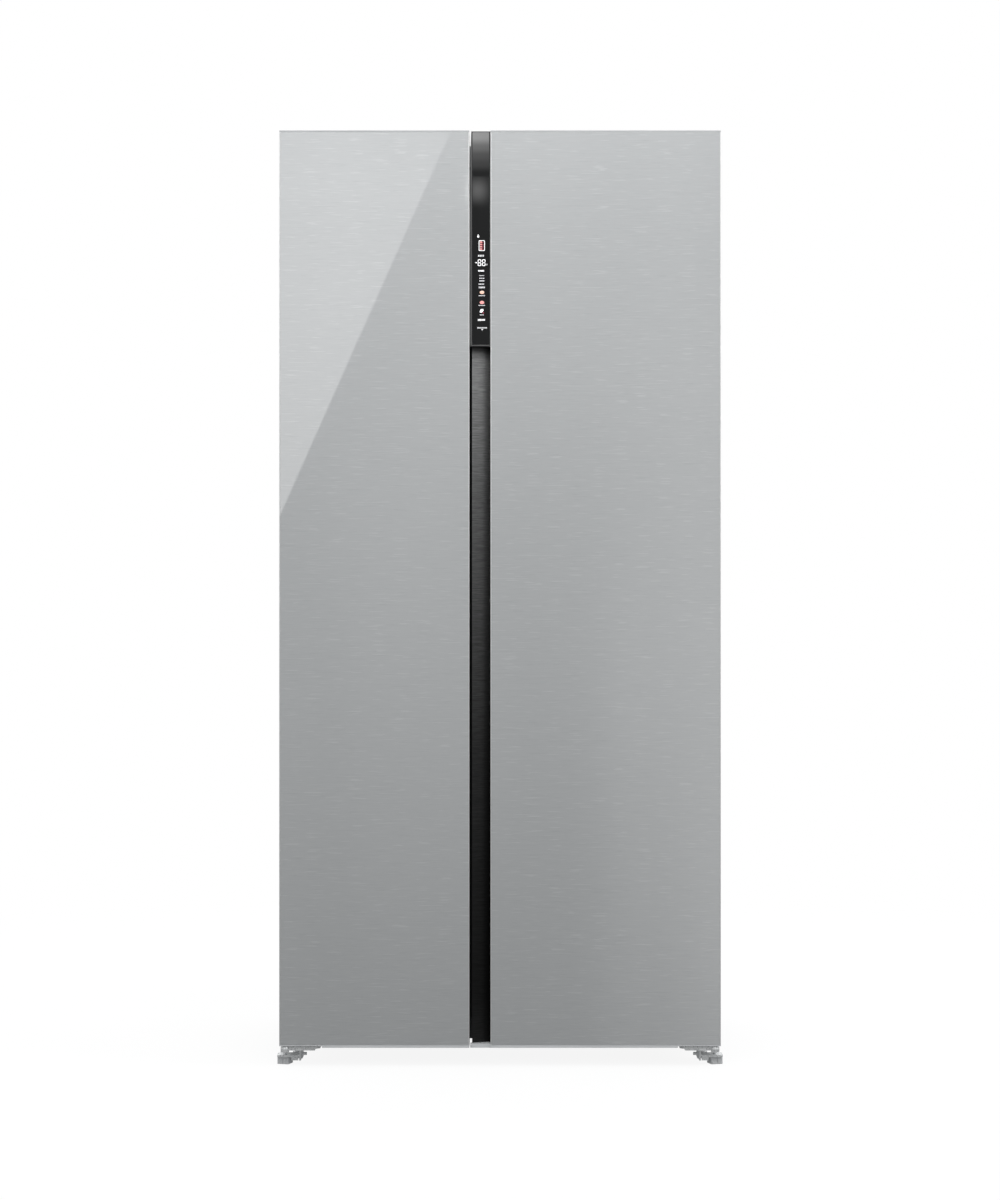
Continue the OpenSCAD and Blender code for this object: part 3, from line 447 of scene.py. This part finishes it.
class SymbolSheet:
    """Thin lit marks on the front of the display, in millimetres: x from their middle line, and the drop
    below the display's top edge."""

    def __init__(self):
        low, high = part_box("display_panel")
        to_the_right, proud, sunk = 1.95 * MM, 0.15 * MM, 0.3 * MM
        self.top = high.z
        self.middle = (low.x + high.x) / 2 + to_the_right
        self.front = low.y - proud
        self.back = low.y + sunk
        self.bm = bmesh.new()

    def plate(self, points):
        outline = [(self.middle + x * MM, self.top - drop * MM) for x, drop in points]
        add_prism(self.bm, outline, self.front, self.back)

    def bar(self, x, drop, width, height):
        w, h = width / 2, height / 2
        self.plate([(x - w, drop + h), (x + w, drop + h), (x + w, drop - h), (x - w, drop - h)])

    def disc(self, x, drop, across, height, sides=20):
        turns = [2 * math.pi * i / sides for i in range(sides)]
        self.plate([(x + across / 2 * math.cos(t), drop - height / 2 * math.sin(t)) for t in turns])

    def dashes(self, drop, width, height, count, x=0.0):
        """A row of short blocks, which stands where a word would be."""
        pitch = width / count
        for i in range(count):
            self.bar(x - width / 2 + (i + 0.5) * pitch, drop, 0.7 * pitch, height)

    def rounded_frame(self, x, drop, width, height, line, radius=2.0, steps=5):
        """Ring with round corners, made of quads between two outlines."""
        def outline(w, h, r):
            points = []
            for quarter, (cx, cz) in enumerate(((1, 1), (-1, 1), (-1, -1), (1, -1))):
                for k in range(steps + 1):
                    turn = math.pi / 2 * (quarter + k / steps)
                    points.append((x + cx * (w / 2 - r) + r * math.cos(turn),
                                   drop - cz * (h / 2 - r) - r * math.sin(turn)))
            return points
        outer = outline(width, height, radius)
        inner = outline(width - 2 * line, height - 2 * line, radius - line / 2)
        for i in range(len(outer)):
            j = (i + 1) % len(outer)
            self.plate([outer[i], outer[j], inner[j], inner[i]])

    def digit_eight(self, x, drop, width, height, line):
        """All seven bars of a numeral."""
        for dx in (-1, 1):
            for dz in (-1, 1):
                self.bar(x + dx * (width - line) / 2, drop + dz * height / 4, line, height / 2 - 1.3 * line)
        for dz in (-1, 0, 1):
            self.bar(x, drop + dz * (height - line) / 2, width - 1.6 * line, line)

    def done(self, name, material):
        finish_piece(name, self.bm, material, "right_door")


def display_symbols():
    white, pale, pink = SymbolSheet(), SymbolSheet(), SymbolSheet()
    red, peach = SymbolSheet(), SymbolSheet()
    # Padlock
    white.bar(-6.8, 200.6, 3.4, 2.8)
    white.rounded_frame(-6.8, 198.4, 2.6, 3.6, 0.7, radius=1.1)
    # Framed drop
    white.rounded_frame(0.0, 217.3, 11.6, 20.2, 1.2)
    for row in range(4):
        pink.bar(-1.6, 210.6 + 4.4 * row, 3.4, 2.9)
        red.bar(1.8, 211.6 + 4.2 * row, 2.0, 2.2)
    pale.dashes(236.5, 11.8, 3.4, 4, x=-1.4)
    # Temperature
    white.bar(-10.6, 249.7, 3.6, 1.5)
    for x in (-4.4, 3.6):
        white.digit_eight(x, 249.7, 6.6, 12.6, 1.4)
    pale.rounded_frame(9.4, 253.2, 2.4, 2.4, 0.6, radius=1.1)
    white.dashes(265.1, 11.8, 3.0, 5, x=-1.3)
    # Mode lines
    pale.dashes(274.1, 9.4, 1.5, 5)
    pale.dashes(279.3, 10.2, 1.8, 3)
    pale.dashes(284.1, 9.8, 2.2, 4)
    pale.dashes(290.4, 11.0, 2.2, 4, x=-0.8)
    pale.dashes(296.5, 12.2, 3.2, 6)
    # Round dish, fruit and leaf, each over its line
    peach.disc(0.3, 306.0, 8.8, 6.0)
    pale.dashes(312.1, 12.4, 1.8, 6)
    pink.disc(0.3, 325.1, 8.6, 6.2)
    pale.dashes(330.6, 12.4, 1.5, 6)
    white.disc(0.3, 339.6, 6.2, 4.6)
    white.disc(-1.3, 342.4, 5.2, 4.0)
    red.disc(2.8, 344.6, 2.6, 2.6, sides=14)
    pale.dashes(348.6, 8.0, 1.7, 4)
    white.dashes(358.1, 14.0, 3.3, 6, x=-0.8)
    pale.dashes(373.1, 18.8, 2.4, 9, x=0.6)
    pale.plate([(-1.6, 375.3), (0.4, 378.3), (2.8, 375.3)])
    for words, sheet, material in (("white", white, SYMBOL_WHITE), ("pale", pale, SYMBOL_PALE),
                                   ("pink", pink, SYMBOL_PINK), ("red", red, SYMBOL_RED),
                                   ("peach", peach, SYMBOL_PEACH)):
        sheet.done(f"display_symbols_{words}", material)


# ---------- Display glass ----------

def display_glass_piece():
    """The display panel again, with a finely stepped front that leans back towards its top, and with eased
    long edges."""
    node = "display_panel"
    low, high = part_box(node)
    points = [vert.co for vert in frame["nodes"][node].data.vertices]
    close = 0.01 * MM
    lean_from = max(p.z for p in points if p.y < low.y + close)
    lean = min(p.y for p in points if p.z > high.z - close) - low.y
    radius = ((high.z - lean_from) ** 2 + lean ** 2) / (2 * lean)

    def set_back(z):
        rise = max(0.0, z - lean_from)
        return radius - math.sqrt(radius ** 2 - rise ** 2)

    eased = [(0.0, 0.5), (0.15, 0.15), (0.5, 0.0), (0.9, 0.0)]
    steps = 60
    heights = [low.z, low.z + 1 * MM, lean_from - 2 * MM]
    heights += [lean_from + (high.z - lean_from) * i / steps for i in range(steps + 1)]
    bm = bmesh.new()
    rings = []
    for z in heights:
        y = low.y + set_back(z)
        left = [(low.x + across * MM, y + deep * MM) for across, deep in eased]
        right = [(high.x - across * MM, y + deep * MM) for across, deep in reversed(eased)]
        outline = [(low.x, high.y)] + left + right + [(high.x, high.y)]
        rings.append([bm.verts.new((x, depth, z)) for x, depth in outline])
    for a, b in zip(rings, rings[1:]):
        for i in range(len(a)):
            j = (i + 1) % len(a)
            bm.faces.new((a[i], a[j], b[j], b[i])).smooth = 1 <= i <= len(eased) * 2 - 1
    bm.faces.new(rings[0][::-1])
    bm.faces.new(rings[-1])
    piece = finish_piece("display_glass_front", bm, DISPLAY, "right_door")
    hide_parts(node)


# ---------- Screws ----------

def islands(mesh):
    """Lowest and highest corner of each separate solid of a mesh."""
    bm = bmesh.new()
    bm.from_mesh(mesh)
    bmesh.ops.remove_doubles(bm, verts=bm.verts, dist=SAME_POINT)
    left = set(bm.verts)
    corners = []
    while left:
        found, edge_of_search = set(), [left.pop()]
        while edge_of_search:
            vert = edge_of_search.pop()
            found.add(vert)
            near = {e.other_vert(vert) for e in vert.link_edges} & left
            left -= near
            edge_of_search += near
        places = [v.co for v in found]
        corners.append(tuple(Vector([pick(p[i] for p in places) for i in range(3)]) for pick in (min, max)))
    bm.free()
    return corners


def screw_head(bm, radius, height, place):
    """Pan head with a cross recess. It stands on the origin, facing up, before it is put in its place."""
    sides = 32
    recess = 0.6 * height
    arm, half = 0.52 * radius, 0.14 * radius
    profile = [(1.0, 0.0), (1.0, 0.45), (0.96, 0.70), (0.84, 0.88), (0.66, 0.98), (0.60, 1.0)]
    turns = [2 * math.pi * i / sides for i in range(sides)]
    rings = [[bm.verts.new(place @ Vector((r * radius * math.cos(a), r * radius * math.sin(a), z * height)))
              for a in turns] for r, z in profile]
    for a, b in zip(rings, rings[1:]):
        for i in range(sides):
            j = (i + 1) % sides
            bm.faces.new((a[i], a[j], b[j], b[i])).smooth = True
    bm.faces.new(rings[0][::-1])
    cross = [(arm, -half), (arm, half), (half, half), (half, arm), (-half, arm), (-half, half),
             (-arm, half), (-arm, -half), (-half, -half), (-half, -arm), (half, -arm), (half, -half)]
    top = [bm.verts.new(place @ Vector((x, y, height))) for x, y in cross]
    floor = [bm.verts.new(place @ Vector((x, y, height - recess))) for x, y in cross]
    outlines = []
    for ring in (rings[-1], top):
        for a, b in zip(ring, ring[1:] + ring[:1]):
            outlines.append(bm.edges.get((a, b)) or bm.edges.new((a, b)))
    bmesh.ops.triangle_fill(bm, use_beauty=True, edges=outlines)
    for i in range(len(cross)):
        j = (i + 1) % len(cross)
        bm.faces.new((top[i], top[j], floor[j], floor[i]))
    bm.faces.new(floor)


def screws():
    """Real heads where the CAD has plain discs: up on the hinges, down under the pan, back on the cover."""
    node = "cabinet_screws"
    middle_height = (cad_box[0].z + cad_box[1].z) / 2
    bm = bmesh.new()
    for low, high in islands(frame["nodes"][node].data):
        size, centre = high - low, (low + high) / 2
        if size.y < size.x - 1 * MM:
            facing, height, foot = Vector((0, 1, 0)), size.y, Vector((centre.x, low.y, centre.z))
        elif centre.z > middle_height:
            facing, height, foot = Vector((0, 0, 1)), size.z, Vector((centre.x, centre.y, low.z))
        else:
            facing, height, foot = Vector((0, 0, -1)), size.z, Vector((centre.x, centre.y, high.z))
        # No two heads have stopped at the same angle
        spin = Matrix.Rotation(30 * centre.x / MM, 4, "Z")
        turn = facing.to_track_quat("Z", "Y").to_matrix().to_4x4()
        screw_head(bm, size.x / 2, height, Matrix.Translation(foot) @ turn @ spin)
    piece = finish_piece("screw_heads", bm, ZINC, "cabinet")
    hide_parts(node)


# ---------- Gaskets ----------

def door_gasket(side):
    """Bellows gasket with its magnet tube, in place of the plain CAD ring."""
    node = f"{side}_door_gasket"
    low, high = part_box(node)
    depth = (high.y - low.y) / MM
    half = [(1.8, 0.0), (0.6, 0.16), (3.2, 0.34), (0.6, 0.54), (1.0, 0.92), (2.4, 1.0)]
    leg = 16.0
    profile = [(u, v * depth) for u, v in half] + [(leg - u, v * depth) for u, v in reversed(half)]
    bm = bmesh.new()
    sweep_frame(bm, low, high, [(u * MM, v * MM) for u, v in profile])
    piece = finish_piece(f"{side}_gasket_bellows", bm, GASKET, f"{side}_door", bevel_mm=0.3)
    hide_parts(node)


# ---------- Shelves, drawers and bins ----------

def shelf_rails(node):
    """Moulded rails that wrap the glass along its front and back: a round nose, a groove along the top
    and eased inner edges."""
    low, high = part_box(node)
    over = 0.4 * MM
    inset = 9.0 * MM
    rail, nose, ease = 16 * MM + 2 * over, 3.2 * MM, 0.9 * MM
    height = high.z - low.z + 2 * over
    groove, groove_w, groove_deep = 6.0 * MM, 1.6 * MM, 0.35 * MM
    steps = 12
    turns = [math.pi * i / steps for i in range(steps + 1)]
    outline = [(nose * (1 - math.sin(a)), height / 2 * (1 - math.cos(a))) for a in turns]
    outline += [(groove, height), (groove, height - groove_deep),
                (groove + groove_w, height - groove_deep), (groove + groove_w, height),
                (rail - ease, height), (rail, height - ease), (rail, ease), (rail - ease, 0.0)]
    for end, edge, inward in (("front", low.y - over, 1), ("back", high.y + over, -1)):
        bm = bmesh.new()
        placed = [(edge + inward * y, low.z - over + z) for y, z in outline]
        add_rail(bm, placed, low.x + inset, high.x - inset)
        finish_piece(f"{node}_{end}_rail", bm, SHELF_TRIM, "cabinet")


def drawer_front(node):
    """Opaque lip with a pull bar along the top of a drawer's front."""
    low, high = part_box(node)
    middle = (low.x + high.x) / 2
    lip, thick = 26 * MM, 5.5 * MM
    half_recess, recess = 54 * MM, 20.2 * MM
    proud, side, over = 0.8 * MM, 0.2 * MM, 0.3 * MM
    bm = bmesh.new()
    for x0, x1 in ((low.x, middle - half_recess), (middle + half_recess, high.x)):
        add_box(bm, (x0 - side, low.y - proud, high.z - lip), (x1 + side, low.y + thick, high.z + over))
    add_box(bm, (middle - half_recess, low.y - proud, high.z - lip),
            (middle + half_recess, low.y + thick, high.z - recess))
    finish_piece(f"{node}_lip", bm, SHELF_TRIM, node, bevel_mm=1.2)


def bin_rims(side):
    """Satin strip along the upper edge of each door bin."""
    low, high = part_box(f"{side}_door_bins")
    count, height = 5, 100 * MM
    pitch = (high.z - low.z - height) / (count - 1)
    inset, strip, thick, over = 30 * MM, 14 * MM, 3.2 * MM, 0.6 * MM
    bm = bmesh.new()
    for i in range(count):
        top = low.z + i * pitch + height
        add_box(bm, (low.x + inset, high.y - thick, top - strip),
                (high.x - inset, high.y + over, top + over))
    finish_piece(f"{side}_bin_rims", bm, SHELF_TRIM, f"{side}_door", bevel_mm=0.8)


# ---------- Light, floor and camera ----------

def set_world():
    """White for the camera, and for light and reflections a studio that is bright above and dim below."""
    world = bpy.data.worlds.new("studio")
    bpy.context.scene.world = world
    world.use_nodes = True
    tree = world.node_tree
    tree.nodes.clear()
    add = tree.nodes.new
    link = tree.links.new
    out = add("ShaderNodeOutputWorld")
    mixed = add("ShaderNodeMixShader")
    ray = add("ShaderNodeLightPath")
    seen, lit = add("ShaderNodeBackground"), add("ShaderNodeBackground")
    seen.inputs["Color"].default_value = (1, 1, 1, 1)
    place = add("ShaderNodeTexCoord")
    split = add("ShaderNodeSeparateXYZ")
    height = add("ShaderNodeMapRange")
    height.inputs["From Min"].default_value = -0.45
    height.inputs["From Max"].default_value = 0.55
    ramp = add("ShaderNodeValToRGB")
    stops = ((0.0, 0.34), (0.10, 0.22), (0.28, 0.185), (0.45, 0.44), (0.62, 0.70), (1.0, 0.93))
    points = ramp.color_ramp.elements
    while len(points) < len(stops):
        points.new(0.5)
    for point, (position, grey) in zip(points, stops):
        point.position = position
        point.color = (grey * 0.985, grey, grey * 1.005, 1)
    link(place.outputs["Generated"], split.inputs["Vector"])
    link(split.outputs["Z"], height.inputs["Value"])
    link(height.outputs["Result"], ramp.inputs["Fac"])
    link(ramp.outputs["Color"], lit.inputs["Color"])
    link(ray.outputs["Is Camera Ray"], mixed.inputs["Fac"])
    link(lit.outputs["Background"], mixed.inputs[1])
    link(seen.outputs["Background"], mixed.inputs[2])
    link(mixed.outputs["Shader"], out.inputs["Surface"])


def area_light(name, place, target, size, power):
    data = bpy.data.lights.new(name, "AREA")
    data.shape = "RECTANGLE"
    data.size, data.size_y = size
    data.energy = power
    light = bpy.data.objects.new(name, data)
    light.location = place
    light.rotation_euler = (Vector(target) - Vector(place)).to_track_quat("-Z", "Y").to_euler()
    bpy.context.scene.collection.objects.link(light)


def set_lights():
    centre = (0, 0, 1.0)
    area_light("top_front", (0.0, -3.6, 4.2), centre, (3.2, 1.6), 45)
    area_light("left_side", (-4.0, -1.6, 2.4), centre, (1.6, 2.6), 25)
    area_light("right_side", (4.0, -1.6, 2.4), centre, (1.6, 2.6), 70)
    area_light("back", (0.0, 4.0, 3.2), centre, (3.0, 2.0), 60)


def reflected(point_on_door, eye, mirror_y, depth_y):
    """Where a thing at depth_y stands for the eye to see it mirrored at that point of a door's glass."""
    point = Vector(point_on_door)
    virtual_y = 2 * mirror_y - depth_y
    reach = (virtual_y - eye.y) / (mirror_y - eye.y)
    return Vector((eye.x + (point.x - eye.x) * reach, depth_y, eye.z + (point.z - eye.z) * reach))


def lit_board(name, corners, strength, across, upward):
    """Flat glow that adds to what the glass mirrors. It is brightest where both its ramps are white."""
    bm = bmesh.new()
    bm.faces.new([bm.verts.new(c) for c in corners])
    mesh = bpy.data.meshes.new(name)
    bm.to_mesh(mesh)
    bm.free()
    board = bpy.data.objects.new(name, mesh)
    bpy.context.scene.collection.objects.link(board)
    s = Surface(name + "_glow")
    split = s.add("ShaderNodeSeparateXYZ")
    s.join(s.add("ShaderNodeTexCoord").outputs["Generated"], split.inputs["Vector"])
    shade = s.blend("MULTIPLY", 1.0, s.ramp(split.outputs["X"], across, "EASE"),
                    s.ramp(split.outputs["Z"], upward, "EASE"))
    glow = s.add("ShaderNodeEmission")
    glow.inputs["Strength"].default_value = strength
    s.join(shade, glow.inputs["Color"])
    both = s.add("ShaderNodeAddShader")
    s.join(glow.outputs["Emission"], both.inputs[0])
    s.join(s.add("ShaderNodeBsdfTransparent").outputs["BSDF"], both.inputs[1])
    s.join(both.outputs["Shader"], s.tree.nodes["Material Output"].inputs["Surface"])
    mesh.materials.append(s.material)
    board.visible_camera = False
    board.visible_diffuse = False
    board.visible_shadow = False


def upright_board(name, x0, x1, z0, z1, strength, across, upward):
    corners = [(x0, BOARD_Y, z0), (x1, BOARD_Y, z0), (x1, BOARD_Y, z1), (x0, BOARD_Y, z1)]
    lit_board(name, corners, strength, across, upward)


def set_boards(eye):
    """Lit boards behind the camera, placed by where the doors and the display mirror them."""
    low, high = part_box("left_door_glass")
    width, height = high.x - low.x, high.z - low.z
    upper = reflected((high.x - 0.095 * width, 0, high.z), eye, low.y, BOARD_Y)
    lower = reflected((low.x, 0, high.z - 0.42 * height), eye, low.y, BOARD_Y)
    end = 0.03 * (upper - lower)
    beyond = Vector((1.2, 0, 0))
    slant = [lower - end, upper + end, upper + end - beyond, lower - end - 0.4 * beyond]
    lit_board("slanting_board", slant, 1.46, [(0.0, 1.0), (1.0, 1.0)],
              [(0.0, 1.0), (0.3, 0.97), (0.5, 0.90), (0.8, 0.69), (1.0, 0.42)])

    low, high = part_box("right_door_glass")
    width, height = high.x - low.x, high.z - low.z
    start = reflected((low.x + 0.10 * width, 0, low.z - 0.02 * height), eye, low.y, BOARD_Y)
    finish = reflected((high.x + 0.03 * width, 0, high.z), eye, low.y, BOARD_Y)
    upright_board("fridge_side_board", start.x, finish.x, start.z, finish.z, 0.72,
                  [(0.0, 0.0), (0.25, 0.12), (0.6, 0.55), (1.0, 1.0)],
                  [(0.0, 0.85), (0.15, 1.0), (0.4, 1.0), (0.7, 0.55), (0.9, 0.12), (1.0, 0.0)])

    low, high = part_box("display_panel")
    middle = reflected(((low.x + high.x) / 2, 0, high.z), eye, low.y, BOARD_Y).x
    upright_board("display_top_board", middle - 0.12, middle + 0.12, 3.0, 5.4, 12.0,
                  [(0.0, 1.0), (1.0, 0.85)], [(0.0, 0.0), (0.2, 0.12), (0.4, 0.22), (0.6, 0.45), (0.85, 1.0)])
    spot = reflected((low.x + 0.33 * (high.x - low.x), 0, high.z - 112 * MM), eye, low.y, BOARD_Y)
    upright_board("display_soft_spot", spot.x - 0.075, spot.x + 0.075, spot.z - 0.085, spot.z + 0.085, 4.2,
                  [(0.0, 0.0), (0.5, 1.0), (1.0, 0.0)], [(0.0, 0.0), (0.5, 1.0), (1.0, 0.0)])


def make_floor():
    """Pale floor that fades into the white backdrop."""
    bm = bmesh.new()
    bmesh.ops.create_circle(bm, cap_ends=True, radius=30, segments=64)
    mesh = bpy.data.meshes.new("floor")
    bm.to_mesh(mesh)
    bm.free()
    floor = bpy.data.objects.new("floor", mesh)
    bpy.context.scene.collection.objects.link(floor)
    s = Surface("floor_pale", roughness=0.9)
    s.colour(s.ramp(s.noise((2, 2, 2), detail=3), [(0.3, 0.90), (0.7, 0.94)]))
    distance = s.add("ShaderNodeVectorMath", operation="LENGTH")
    s.join(s.place, distance.inputs[0])
    away = s.span(distance.outputs["Value"], 0.90, 1.0, 0.5, 2.6)
    glow = s.add("ShaderNodeEmission")
    mixed = s.add("ShaderNodeMixShader")
    s.join(away, mixed.inputs["Fac"])
    s.join(s.shader.outputs[0], mixed.inputs[1])
    s.join(glow.outputs[0], mixed.inputs[2])
    s.join(mixed.outputs[0], s.tree.nodes["Material Output"].inputs["Surface"])
    mesh.materials.append(s.material)
    floor.visible_glossy = False
    floor.visible_diffuse = False


def make_camera():
    """Straight in front, with the height of the view and the eye level that the whole front needs."""
    lens, sensor = 85.0, 36.0
    view_height = 2.272
    eye_height = 0.884
    front = cad_box[0].y
    data = bpy.data.cameras.new("camera")
    data.lens = lens
    data.sensor_width = sensor
    camera = bpy.data.objects.new("camera", data)
    camera.location = (0, front - view_height * lens / sensor, eye_height)
    camera.rotation_euler = (math.pi / 2, 0, 0)
    bpy.context.scene.collection.objects.link(camera)
    bpy.context.scene.camera = camera
    return camera


# ---------- Assembly ----------

bpy.context.scene.view_settings.view_transform = "Standard"
camera = make_camera()
dress_cad_nodes()
display_glass_piece()
display_symbols()
screws()
for side in SIDES:
    door_gasket(side)
    bin_rims(side)
for shelf in SHELVES:
    shelf_rails(shelf)
for drawer in DRAWERS:
    drawer_front(drawer)
set_world()
set_lights()
set_boards(camera.location)
make_floor()
